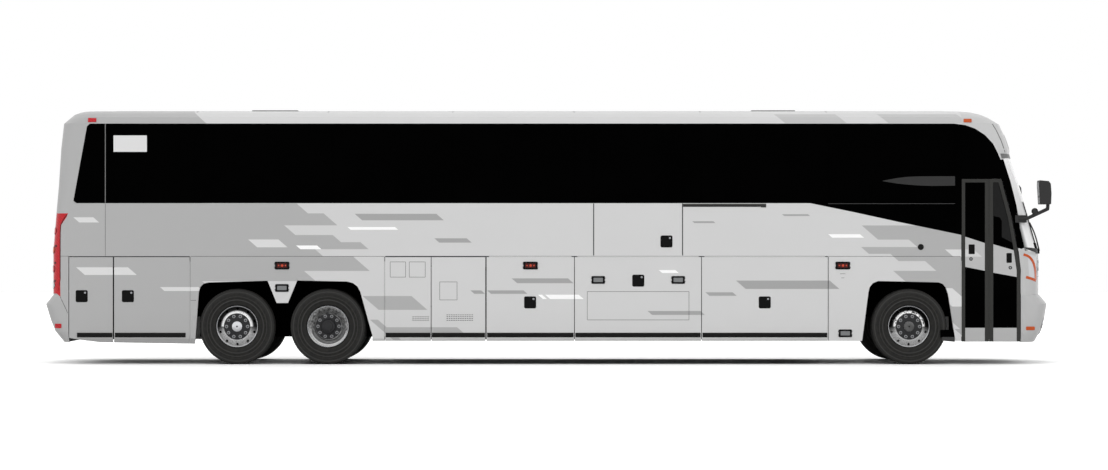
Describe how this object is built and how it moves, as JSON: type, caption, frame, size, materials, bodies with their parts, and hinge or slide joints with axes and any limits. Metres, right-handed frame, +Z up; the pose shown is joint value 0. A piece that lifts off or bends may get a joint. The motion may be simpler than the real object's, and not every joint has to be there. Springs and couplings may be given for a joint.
{
  "type": "coach bus",
  "caption": "Three-axle commuter coach with a tandem rear, two-leaf entrance door, wheelchair lift door, luggage bay doors and steered front wheels.",
  "frame": {"origin": "on the ground under the middle of the bounding box", "axes": "+X to the front of the bus, -Y to the kerb side with the entrance door, +Z up"},
  "size_m": [13.8338, 3.14, 3.5079],
  "materials": {
    "body_paint": "gloss paint over aluminium and moulded panels",
    "door_frame": "dark satin paint",
    "glass": "dark tinted safety glass",
    "windshield_glass": "lightly tinted laminated glass",
    "lamp_clear": "clear lens",
    "lamp_red": "red lens",
    "bumper": "painted moulding",
    "tyre": "matt rubber",
    "wheel": "polished forged aluminium",
    "running_gear": "black chassis paint",
    "frame": "black chassis paint",
    "floor": "ribbed vinyl",
    "seat_fabric": "woven moquette",
    "dash": "grained moulding",
    "trim_black": "moulded housing",
    "engine_iron": "cast block"
  },
  "bodies": {
    "root": {"arch_panels": "body_paint", "bay_floor": "frame", "bulkheads": "frame", "dashboard": "dash", "driver_platform": "floor", "engine": "engine_iron", "entrance_steps": "floor", "floor": "floor", "frame_rails": "frame", "front_axle": "running_gear", "front_bumper": "bumper", "front_cap": "body_paint", "headlamps": "lamp_clear", "lift_door": "body_paint", "mirrors": "trim_black", "nose_panel": "body_paint", "rear_axles": "running_gear", "rear_bumper": "bumper", "rear_cap": "body_paint", "roof": "body_paint", "seats": "seat_fabric", "side_glass": "glass", "tail_lamps": "lamp_red", "wall_kerb": "body_paint", "wall_street": "body_paint", "wheel_housings": "frame", "windshield": "windshield_glass"},
    "bay_rear_kerb": {"bay_rear_kerb": "body_paint"},
    "bay_middle_kerb": {"bay_middle_kerb": "body_paint"},
    "bay_front_kerb": {"bay_front_kerb": "body_paint"},
    "bay_rear_street": {"bay_rear_street": "body_paint"},
    "bay_middle_street": {"bay_middle_street": "body_paint"},
    "bay_front_street": {"bay_front_street": "body_paint"},
    "service_rear_kerb": {"service_rear_kerb": "body_paint"},
    "service_front_kerb": {"service_front_kerb": "body_paint"},
    "climate_rear_kerb": {"climate_rear_kerb": "body_paint"},
    "climate_front_kerb": {"climate_front_kerb": "body_paint"},
    "radiator_door_street": {"radiator_door_street": "body_paint"},
    "condenser_door_street": {"condenser_door_street": "body_paint"},
    "entrance_leaf_rear": {"entrance_leaf_rear": "door_frame"},
    "entrance_leaf_front": {"entrance_leaf_front": "door_frame"},
    "engine_door": {"engine_door": "body_paint"},
    "roof_hatch_rear": {"roof_hatch_rear": "body_paint"},
    "roof_hatch_front": {"roof_hatch_front": "body_paint"},
    "knuckle_kerb": {"knuckle_kerb": "running_gear"},
    "wheel_front_kerb": {"tyre_front_kerb": "tyre", "rim_front_kerb": "wheel"},
    "wheel_drive_kerb": {"tyre_drive_kerb": "tyre", "rim_drive_kerb": "wheel"},
    "wheel_tag_kerb": {"tyre_tag_kerb": "tyre", "rim_tag_kerb": "wheel"},
    "knuckle_street": {"knuckle_street": "running_gear"},
    "wheel_front_street": {"tyre_front_street": "tyre", "rim_front_street": "wheel"},
    "wheel_drive_street": {"tyre_drive_street": "tyre", "rim_drive_street": "wheel"},
    "wheel_tag_street": {"tyre_tag_street": "tyre", "rim_tag_street": "wheel"}
  },
  "joints": [
    {"name": "bay_rear_kerb_hinge", "type": "hinge", "parent": "root", "child": "bay_rear_kerb", "pos_m": [-0.2705, -1.295, 1.47], "axis": [-1, 0, 0], "range_deg": [0, 95]},
    {"name": "bay_middle_kerb_hinge", "type": "hinge", "parent": "root", "child": "bay_middle_kerb", "pos_m": [1.1995, -1.295, 1.47], "axis": [-1, 0, 0], "range_deg": [0, 95]},
    {"name": "bay_front_kerb_hinge", "type": "hinge", "parent": "root", "child": "bay_front_kerb", "pos_m": [2.931, -1.295, 1.47], "axis": [-1, 0, 0], "range_deg": [0, 95]},
    {"name": "bay_rear_street_hinge", "type": "hinge", "parent": "root", "child": "bay_rear_street", "pos_m": [-0.2705, 1.295, 1.47], "axis": [1, 0, 0], "range_deg": [0, 95]},
    {"name": "bay_middle_street_hinge", "type": "hinge", "parent": "root", "child": "bay_middle_street", "pos_m": [1.1995, 1.295, 1.47], "axis": [1, 0, 0], "range_deg": [0, 95]},
    {"name": "bay_front_street_hinge", "type": "hinge", "parent": "root", "child": "bay_front_street", "pos_m": [2.931, 1.295, 1.47], "axis": [1, 0, 0], "range_deg": [0, 95]},
    {"name": "service_rear_kerb_hinge", "type": "hinge", "parent": "root", "child": "service_rear_kerb", "pos_m": [-5.964, -1.295, 0.9], "axis": [0, 0, 1], "range_deg": [0, 90]},
    {"name": "service_front_kerb_hinge", "type": "hinge", "parent": "root", "child": "service_front_kerb", "pos_m": [-4.916, -1.295, 0.9], "axis": [0, 0, 1], "range_deg": [0, 90]},
    {"name": "climate_rear_kerb_hinge", "type": "hinge", "parent": "root", "child": "climate_rear_kerb", "pos_m": [-2.257, -1.295, 0.9], "axis": [0, 0, -1], "range_deg": [0, 90]},
    {"name": "climate_front_kerb_hinge", "type": "hinge", "parent": "root", "child": "climate_front_kerb", "pos_m": [-0.879, -1.295, 0.9], "axis": [0, 0, 1], "range_deg": [0, 90]},
    {"name": "radiator_door_street_hinge", "type": "hinge", "parent": "root", "child": "radiator_door_street", "pos_m": [-4.916, 1.295, 0.9], "axis": [0, 0, -1], "range_deg": [0, 90]},
    {"name": "condenser_door_street_hinge", "type": "hinge", "parent": "root", "child": "condenser_door_street", "pos_m": [-0.879, 1.295, 0.9], "axis": [0, 0, -1], "range_deg": [0, 90]},
    {"name": "entrance_leaf_rear_hinge", "type": "hinge", "parent": "root", "child": "entrance_leaf_rear", "pos_m": [5.612, -1.295, 0.9], "axis": [0, 0, -1], "range_deg": [0, 90]},
    {"name": "entrance_leaf_front_hinge", "type": "hinge", "parent": "root", "child": "entrance_leaf_front", "pos_m": [6.426, -1.295, 0.9], "axis": [0, 0, 1], "range_deg": [0, 90]},
    {"name": "engine_door_hinge", "type": "hinge", "parent": "root", "child": "engine_door", "pos_m": [-6.776, 0, 2.02], "axis": [0, 1, 0], "range_deg": [0, 80]},
    {"name": "roof_hatch_rear_hinge", "type": "hinge", "parent": "root", "child": "roof_hatch_rear", "pos_m": [-3.515, 0, 3.4883], "axis": [0, 1, 0], "range_deg": [0, 60]},
    {"name": "roof_hatch_front_hinge", "type": "hinge", "parent": "root", "child": "roof_hatch_front", "pos_m": [3.415, 0, 3.4883], "axis": [0, 1, 0], "range_deg": [0, 60]},
    {"name": "steer_kerb", "type": "hinge", "parent": "root", "child": "knuckle_kerb", "pos_m": [4.904, -0.986, 0.517], "axis": [0, 0, 1], "range_deg": [-40, 40]},
    {"name": "spin_front_kerb", "type": "hinge", "parent": "knuckle_kerb", "child": "wheel_front_kerb", "pos_m": [4.904, -1, 0.515], "axis": [0, 1, 0], "continuous": true},
    {"name": "spin_drive_kerb", "type": "hinge", "parent": "root", "child": "wheel_drive_kerb", "pos_m": [-3.036, -1, 0.515], "axis": [0, 1, 0], "continuous": true},
    {"name": "spin_tag_kerb", "type": "hinge", "parent": "root", "child": "wheel_tag_kerb", "pos_m": [-4.277, -1, 0.515], "axis": [0, 1, 0], "continuous": true},
    {"name": "steer_street", "type": "hinge", "parent": "root", "child": "knuckle_street", "pos_m": [4.904, 0.986, 0.517], "axis": [0, 0, 1], "range_deg": [-40, 40]},
    {"name": "spin_front_street", "type": "hinge", "parent": "knuckle_street", "child": "wheel_front_street", "pos_m": [4.904, 1, 0.515], "axis": [0, 1, 0], "continuous": true},
    {"name": "spin_drive_street", "type": "hinge", "parent": "root", "child": "wheel_drive_street", "pos_m": [-3.036, 1, 0.515], "axis": [0, 1, 0], "continuous": true},
    {"name": "spin_tag_street", "type": "hinge", "parent": "root", "child": "wheel_tag_street", "pos_m": [-4.277, 1, 0.515], "axis": [0, 1, 0], "continuous": true}
  ],
  "couplings": [
    {"joint": "steer_kerb", "follows": "steer_street", "ratio": 1}
  ]
}
